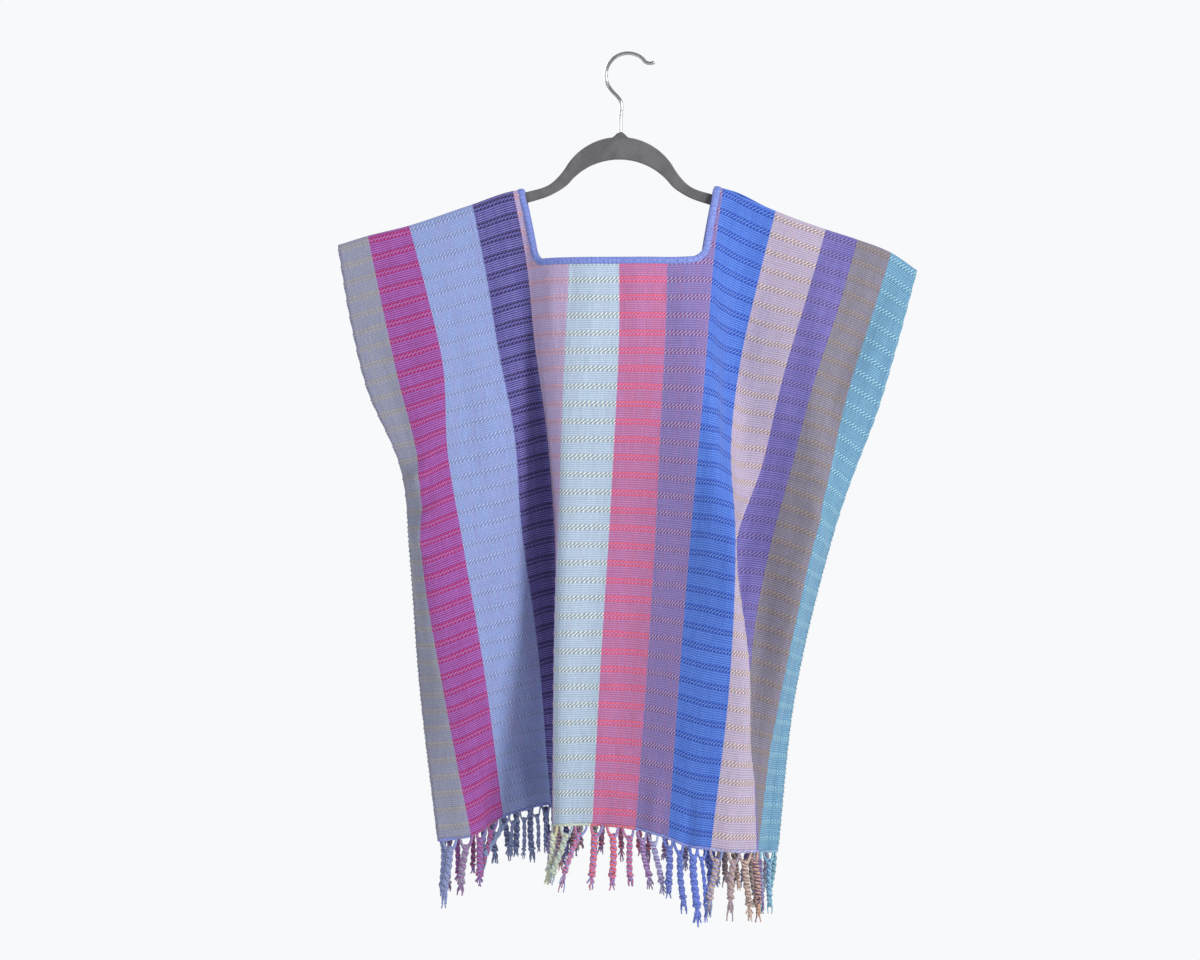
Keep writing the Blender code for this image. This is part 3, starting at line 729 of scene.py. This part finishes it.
class Yarns:
    """Many cords gathered into one mesh, each with its own two colours."""

    def __init__(self):
        self.corners, self.faces, self.lay, self.first, self.second = [], [], [], [], []
        self.count = 0

    def add(self, points, radii, first, second, sides=CORD_SIDES):
        corners, faces, lay = tube(points, radii, sides)
        self.faces += [tuple(corner + self.count for corner in face) for face in faces]
        self.count += len(corners)
        self.corners.append(corners)
        self.lay.append(np.column_stack((lay, np.zeros(len(lay)))))
        for layer, colour in ((self.first, first), (self.second, second)):
            layer.append(np.tile(np.array(tint(colour)) * (1 - FADED) + FADED, (len(corners), 1)))

    def piece(self, name, finish, slot):
        made = make_piece(name, np.concatenate(self.corners), self.faces, finish)
        write_values(made, "lay", "FLOAT_VECTOR", "vector", np.concatenate(self.lay))
        write_values(made, "first_yarn", "FLOAT_COLOR", "color", np.concatenate(self.first))
        write_values(made, "second_yarn", "FLOAT_COLOR", "color", np.concatenate(self.second))
        return made


def yarn_finish():
    """Soft cotton yarn: strands of both colours run slantwise round each cord, with painted shade in the
    grooves between them.
    """
    finish = Finish("cotton_yarn", Roughness=0.92, Sheen_Weight=0.3, Sheen_Roughness=0.6,
                    Specular_IOR_Level=0.2)
    lay = finish.node("Attribute", attribute_name="lay").outputs["Vector"]
    split = finish.node("SeparateXYZ", ((0, lay),))
    along = finish.math("MULTIPLY", finish.math("DIVIDE", split.outputs[0], MM), tau / 3.4)
    round_it = finish.math("MULTIPLY", finish.math("DIVIDE", split.outputs[1], MM), 2.0)
    strands = finish.math("SINE", finish.math("ADD", along, round_it))
    fuzz = finish.noise(lay, 700.0, 3.0)
    first = finish.node("Attribute", attribute_name="first_yarn").outputs["Color"]
    second = finish.node("Attribute", attribute_name="second_yarn").outputs["Color"]
    amount = finish.ease(finish.math("ADD", strands, finish.math("MULTIPLY", fuzz, 1.2)), 0.5, 1.3)
    colour = finish.mix(amount, first, second)
    # The grooves between the strands are painted darker: painted shade.
    groove_shade = finish.ease(strands, -1.0, -0.4, 0.84, 1.0)
    groove_shade_colour = finish.node("CombineColor", ((0, groove_shade), (1, groove_shade), (2, groove_shade))).outputs[0]
    finish.colour(finish.mix(1.0, colour, groove_shade_colour, "MULTIPLY"))
    finish.bump(finish.math("ADD", strands, fuzz), 0.6, 0.4 * MM)
    return finish.material


def tie_tassel(yarns, cloth, row, phase):
    """One tassel: two gathered legs, a twisted pair of plies, an overhand knot and loose ends."""
    across, to_knot, loose, right, front, thickness, first, second = row
    root_u = across * MM
    ends = np.clip(np.array((root_u - GATHER_HALF_WIDTH, root_u, root_u + GATHER_HALF_WIDTH)),
                   0.5 * MM, (CLOTH_WIDTH_MM - 0.5) * MM)
    left_root, root, right_root = cloth.place(ends, np.full(3, PANEL_LENGTH))
    length = to_knot * MM

    def centre(down):
        """The tassel's middle line: it leans more the further it hangs, with a slight wave."""
        t = down / length
        sway = 1.1 * MM * np.sin(t * 4.2 + phase)
        x = right * MM * t**1.3 + sway
        y = -front * MM * t**1.5
        return root + np.stack((x, y, -down), axis=-1)

    for side, start in ((-1, left_root), (1, right_root)):
        t = np.linspace(0, 1, 7)[:, None]
        end = centre(np.array(GATHER_DROP)) + (side * 0.8 * MM, 0, 0)
        bend = (1 - t) ** 2 * start + 2 * t * (1 - t) * (start + (0, 0, -0.55 * GATHER_DROP)) + t**2 * end
        yarns.add(bend, np.linspace(1.3, 1.7, 7) * MM * thickness, first if side < 0 else second, second)
    down = np.arange(GATHER_DROP * 0.7, length, 1.5 * MM)
    middle = centre(down)
    for ply, (own, other) in enumerate(((first, second), (second, first))):
        turn = down / TWIST_PITCH * tau + ply * pi + phase
        offset = PLY_OFFSET * thickness
        twist = np.stack((np.cos(turn) * offset, np.sin(turn) * offset, down * 0), axis=1)
        yarns.add(middle + twist, PLY_RADIUS * thickness, own, other)
    knot_middle = centre(np.array(length))
    turn = np.linspace(0, KNOT_TURN, 22)
    spread = KNOT_RADIUS * thickness * (1 - 0.15 * np.abs(turn / 4.6 - 1))
    coil = np.stack((np.cos(turn + phase) * spread, np.sin(turn + phase) * spread,
                     (0.5 - turn / KNOT_TURN) * KNOT_HEIGHT + np.sin(turn) * 0.8 * MM), axis=1)
    yarns.add(knot_middle + coil, 1.75 * MM * thickness, first, second)
    for k in range(LOOSE_ENDS):
        angle = k * tau / LOOSE_ENDS + phase
        reach = loose * MM * (0.75 + 0.25 * sin(k * 2.1 + phase * 3))
        t = np.linspace(0, 1, 7)
        splay = (0.8 + 2.2 * t) * MM * thickness
        tail = np.stack((
            np.cos(angle) * splay + right * MM * 0.25 * t + 0.7 * MM * np.sin(t * 5 + k),
            np.sin(angle) * splay * 0.8,
            -1.5 * MM - reach * t,
        ), axis=1)
        thin = LOOSE_RADIUS * thickness * np.linspace(1.15, 0.7, 7)
        yarns.add(knot_middle + tail, thin, first if k % 2 else second, second, 5)


def hem_line(yarns, cloth):
    """The pair of twined yarns that locks the last weft, in periwinkle and some stripes' own accents."""
    start = 0.0
    for stripe, width, *_ in STRIPES:
        u = np.arange(start + 0.8, start + width + 0.6, 1.1) * MM
        start += width
        edge = cloth.place(u, np.full(len(u), PANEL_LENGTH))
        turn = u / HEM_LINE_PITCH * tau
        thick = 1 + 0.35 * np.sin(u / (5.3 * MM)) * np.sin(u / (13 * MM))
        colours = HEM_ACCENTS.get(stripe, ("#6F7FD4", "#8C97DC"))
        for ply, order in enumerate((1, -1)):
            wave = np.stack((u * 0, np.cos(turn + ply * pi), np.sin(turn + ply * pi)), axis=1)
            yarns.add(edge + wave * 0.8 * MM - (0, 0, 0.5 * MM), HEM_LINE_RADIUS * thick, *colours[::order])


def fringe_piece(name, cloth, rows, finish, node):
    yarns = Yarns()
    for number, row in enumerate(rows):
        tie_tassel(yarns, cloth, row, number * 1.7)
    hem_line(yarns, cloth)
    piece = yarns.piece(name, finish, "warp_fringe")
    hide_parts(node)
    return piece


cotton_yarn = yarn_finish()
front_fringe = fringe_piece("knotted_fringe_front", front_cloth, FRONT_TASSELS, cotton_yarn, "front_fringe")
back_fringe = fringe_piece("knotted_fringe_back", back_cloth, BACK_TASSELS, cotton_yarn, "back_fringe")

# ---- Selvedges and side seams ----
# The woven edges of the cloth, where each weft turns back in a small loop. They are left open as
# armholes and whipped together from there down to the hem.

SELVEDGE_RADIUS = 0.75 * MM
SELVEDGE_STEP = 2.2 * MM
LOOPS_IN_ARMHOLE = 16
LOOP_RADIUS = 0.45 * MM
PROUD_OF_CLOTH = 0.9 * MM
WHIP_SPACING = 5 * MM
WHIP_RADIUS = 0.4 * MM


def finish_edges(finish):
    yarns = Yarns()
    last = front_cloth.edges[-1]
    sides = ((0.3 * MM, 1, "#777B98", "#9297B8"), (last - 0.3 * MM, -1, "#4F86A8", "#8FC4DC"))
    for cloth in (front_cloth, back_cloth):
        for u, inward, first, second in sides:
            v = np.arange(2 * MM, PANEL_LENGTH, SELVEDGE_STEP)
            wave = 0.35 * MM * np.sin(v / TWINED_PITCH * tau)
            yarns.add(cloth.place(u + inward * wave, v), SELVEDGE_RADIUS, first, second, 6)
            for k in range(LOOPS_IN_ARMHOLE):
                row = TWINED_START + 2.6 * MM + TWINED_PITCH * k
                turn = np.linspace(0, pi, 7)
                loop_u = u + inward * (3 * MM - 4 * MM * np.sin(turn))
                loop_v = row - 1.5 * MM * np.cos(turn)
                loop = cloth.place(loop_u, loop_v, np.full(7, PROUD_OF_CLOTH))
                yarns.add(loop, LOOP_RADIUS, second, second, 5)
    for u, inward, first, second in sides:
        for v in np.arange(ARMHOLE_DEPTH, PANEL_LENGTH - 4 * MM, WHIP_SPACING):
            near, far = u + inward * 2.6 * MM, u + inward * 0.2 * MM
            out = np.full(2, PROUD_OF_CLOTH)
            on_front = front_cloth.place((near, far), (v, v + 1.2 * MM), out)
            on_back = back_cloth.place((far, near), (v + 1.6 * MM, v + 2.8 * MM), out)
            beyond = (on_front[1] + on_back[0]) / 2 - (inward * 0.7 * MM, 0, 0)
            yarns.add(np.array((on_front[0], on_front[1], beyond, on_back[0], on_back[1])), WHIP_RADIUS,
                      second, first, 5)
    return yarns.piece("selvedges_and_seams", finish, "striped_cloth")


edge_yarns = finish_edges(cotton_yarn)

# ---- Hanger ----
# A slim moulded hanger with an arched middle and two sloping arms, flocked all over in dark grey so
# that the cloth doesn't slip. The boss at the top of the arch holds the hook.

HANGER_CENTRE_X = -7.5 * MM
HANGER_TILT = radians(0.8)
HANGER_THICKNESS = 5.5 * MM
HANGER_ROUNDING = 1.3 * MM
OUTLINE_STEP = 1.6 * MM
ARM_END = 222 * MM
ARM_DEPTH = 10.5 * MM
ARM_SLOPE = radians(19.6)
ARM_JOIN = 60 * MM
ARM_JOIN_Z = -126.5 * MM
ARCH_TOP_Z = -82 * MM
ARCH_BAND = 22.5 * MM
ARCH_RADIUS = 63 * MM
ARCH_INNER_RADIUS = 65 * MM
BOSS_HALF_WIDTH = 8 * MM
BOSS_HEIGHT = 5 * MM


def hanger_outline():
    """Right half of the hanger's outline from its boss to its lower middle, as x and z."""
    arch_centre = ARCH_TOP_Z - ARCH_RADIUS
    inner_centre = ARCH_TOP_Z - ARCH_BAND - ARCH_INNER_RADIUS
    join_turn = atan2(ARM_JOIN, ARM_JOIN_Z - arch_centre)
    along, down = cos(ARM_SLOPE), sin(ARM_SLOPE)

    def on_arm(x, depth):
        run = (x - ARM_JOIN) / along
        return (x - depth * down, ARM_JOIN_Z - run * down - depth * along)

    upper = [(0.0, ARCH_TOP_Z + BOSS_HEIGHT), (2.6 * MM, ARCH_TOP_Z + BOSS_HEIGHT * 0.8)]
    for turn in np.linspace(BOSS_HALF_WIDTH / ARCH_RADIUS, join_turn - radians(12), 12):
        upper.append((ARCH_RADIUS * sin(turn), arch_centre + ARCH_RADIUS * cos(turn)))
    upper += [on_arm(x, 0) for x in np.linspace(ARM_JOIN + 9 * MM, ARM_END - 12 * MM, 6)]
    tip = ARM_DEPTH / 2
    for turn in np.linspace(radians(20), radians(160), 7):
        x, z = on_arm(ARM_END - tip, tip)
        upper.append((ARM_END - tip + tip * sin(turn) * 0.9, z + tip * cos(turn)))
    lower = [on_arm(x, ARM_DEPTH) for x in np.linspace(ARM_END - 10 * MM, ARM_JOIN + 10 * MM, 6)]
    for turn in np.linspace(radians(52), 0, 12):
        lower.append((ARCH_INNER_RADIUS * sin(turn), inner_centre + ARCH_INNER_RADIUS * cos(turn)))
    return np.array(upper + lower)


def flocked_finish():
    """Short nylon flock: a dull, slightly mottled pile with a soft bright edge."""
    finish = Finish("grey_flocking", Roughness=1.0, Sheen_Weight=0.6, Sheen_Roughness=0.45,
                    Specular_IOR_Level=0.1)
    place = finish.node("TexCoord").outputs["Object"]
    pile = finish.noise(place, 1600.0, 2.0)
    brushed = finish.noise(place, 45.0, 3.0)
    colour = finish.mix(finish.ease(pile, 0.35, 0.65), tint("#525254"), tint("#656467"))
    colour = finish.mix(finish.ease(brushed, 0.4, 0.62, 0.0, 0.45), colour, tint("#737275"))
    finish.colour(colour)
    finish.bump(pile, 0.5, 0.3 * MM)
    return finish.material


def mould_hanger(finish):
    half = hanger_outline()
    knots = np.append(0, np.cumsum(np.linalg.norm(np.diff(half, axis=0), axis=1)))
    fine = smooth(knots, half, np.arange(0, knots[-1], OUTLINE_STEP))
    whole = np.concatenate((fine, fine[:0:-1] * (-1, 1)))
    curve = bpy.data.curves.new("flocked_hanger", "CURVE")
    curve.dimensions = "2D"
    curve.fill_mode = "BOTH"
    curve.extrude = HANGER_THICKNESS / 2 - HANGER_ROUNDING
    curve.bevel_depth = HANGER_ROUNDING
    curve.offset = -HANGER_ROUNDING
    curve.bevel_resolution = 3
    line = curve.splines.new("POLY")
    line.points.add(len(whole) - 1)
    for point, (x, z) in zip(line.points, whole):
        point.co = (x, z - ARCH_TOP_Z, 0, 1)
    line.use_cyclic_u = True
    piece = bpy.data.objects.new("flocked_hanger", curve)
    bpy.context.scene.collection.objects.link(piece)
    piece.rotation_euler = (pi / 2, HANGER_TILT, 0)
    piece.location = (HANGER_CENTRE_X, 0, ARCH_TOP_Z)
    curve.materials.append(finish)
    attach(piece, "root")
    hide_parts("hanger")


mould_hanger(flocked_finish())

# ---- Hook ----
# Bright steel wire bent to hang over a rail: up out of the boss, round to the left, over the top and out
# in a small upturned tip that keeps it from scratching.

WIRE = 3.6 * MM
HOOK_RADIUS = 22.2 * MM
SHANK_TOP_Z = -46 * MM
WIRE_RINGS = 110
WIRE_SIDES = 14


def chrome_finish():
    finish = Finish("bright_wire", Metallic=1.0, Roughness=0.16)
    place = finish.node("TexCoord").outputs["Object"]
    stretched = finish.node("Mapping", (("Vector", place), ("Scale", (900.0, 900.0, 40.0)))).outputs[0]
    drawn = finish.noise(stretched, 1.0)
    finish.colour(finish.mix(finish.ease(drawn, 0.3, 0.7), tint("#A4A6AB"), tint("#C6C8CC")))
    finish.bump(drawn, 0.15, 0.05 * MM)
    return finish.material


def bend_hook(finish):
    middle = np.array((0.0, WIRE / 2 - HOOK_RADIUS))
    shank = (ARCH_TOP_Z, (ARCH_TOP_Z + SHANK_TOP_Z) / 2, SHANK_TOP_Z)
    route = [np.array((HANGER_CENTRE_X, z)) for z in shank]
    for turn in np.linspace(radians(222), radians(36), 15):
        route.append(middle + HOOK_RADIUS * np.array((cos(turn), sin(turn))))
    route.append(route[-1] + np.array((4, -1)) * MM)
    route.append(route[-1] + np.array((5, 1)) * MM)
    route = np.array(route)
    knots = np.append(0, np.cumsum(np.linalg.norm(np.diff(route, axis=0), axis=1)))
    fine = smooth(knots, route, np.linspace(0, knots[-1], WIRE_RINGS))
    points = np.stack((fine[:, 0], fine[:, 0] * 0, fine[:, 1]), axis=1)
    left = np.linspace(knots[-1], 0, WIRE_RINGS)
    radii = WIRE / 2 * np.sqrt(np.clip(1 - (1 - np.clip(left / (WIRE / 2), 0, 1)) ** 2, 0.05, 1))
    corners, faces, _ = tube(points, radii, WIRE_SIDES)
    piece = make_piece("wire_hook", corners, faces, finish)
    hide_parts("hook")


bend_hook(chrome_finish())

# ---- Studio ----
# A plain pale floor well below the hem, a white surround, and three soft lights: a key from the front
# right, a weak fill from the left and one from behind. The camera looks straight at the chest.

FLOOR_Z = -1.6
FLOOR_RADIUS = 3.4
FLOOR_SIDES = 96
WORLD_LIGHT = 0.43
WORLD_SEEN = 0.97


def lay_floor():
    turns = np.linspace(0, tau, FLOOR_SIDES, endpoint=False)
    mesh = bpy.data.meshes.new("pale_floor")
    rim = [(FLOOR_RADIUS * cos(turn), FLOOR_RADIUS * sin(turn), FLOOR_Z) for turn in turns]
    mesh.from_pydata(rim, [], [tuple(range(len(rim)))])
    finish = Finish("pale_floor_paint", Roughness=0.85)
    place = finish.node("TexCoord").outputs["Object"]
    mottle = finish.noise(place, 6.0, 4.0)
    finish.colour(finish.mix(finish.ease(mottle, 0.35, 0.65), tint("#F1F0EE"), tint("#F7F6F4")))
    mesh.materials.append(finish.material)
    floor = bpy.data.objects.new("pale_floor", mesh)
    bpy.context.scene.collection.objects.link(floor)


def add_light(name, place, turn, size, power, colour):
    light = bpy.data.lights.new(name, "AREA")
    light.shape = "DISK"
    light.size = size
    light.energy = power
    light.color = colour
    thing = bpy.data.objects.new(name, light)
    thing.location = place
    thing.rotation_euler = [radians(angle) for angle in turn]
    bpy.context.scene.collection.objects.link(thing)


lay_floor()
add_light("key_light", (1.85, -1.8, 0.5), (71, 0, 46), 0.8, 65, (1.0, 0.985, 0.96))
add_light("fill_light", (-1.8, -1.6, 0.2), (75, 0, -48), 2.0, 14, (0.95, 0.97, 1.0))
add_light("back_light", (-1.2, 2.6, 0.7), (70, 0, -155), 1.4, 55, (1.0, 0.99, 0.97))
surround = bpy.data.worlds.new("white_surround")
surround.use_nodes = True
sky = surround.node_tree.nodes["Background"]
sky.inputs["Color"].default_value = (0.965, 0.975, 0.99, 1.0)
seen = surround.node_tree.nodes.new("ShaderNodeLightPath")
level = surround.node_tree.nodes.new("ShaderNodeMapRange")
level.inputs["To Min"].default_value = WORLD_LIGHT
level.inputs["To Max"].default_value = WORLD_SEEN
surround.node_tree.links.new(seen.outputs["Is Camera Ray"], level.inputs["Value"])
surround.node_tree.links.new(level.outputs[0], sky.inputs["Strength"])
bpy.context.scene.world = surround
bpy.context.scene.view_settings.view_transform = "Standard"

# The camera stands level, straight in front of the chest.
camera = bpy.data.cameras.new("camera")
camera.lens = 72
camera.sensor_width = 36
camera_stand = bpy.data.objects.new("camera", camera)
camera_stand.location = (-0.028, -2.4, -0.425)
camera_stand.rotation_euler = (pi / 2, 0, 0)
bpy.context.scene.collection.objects.link(camera_stand)
bpy.context.scene.camera = camera_stand
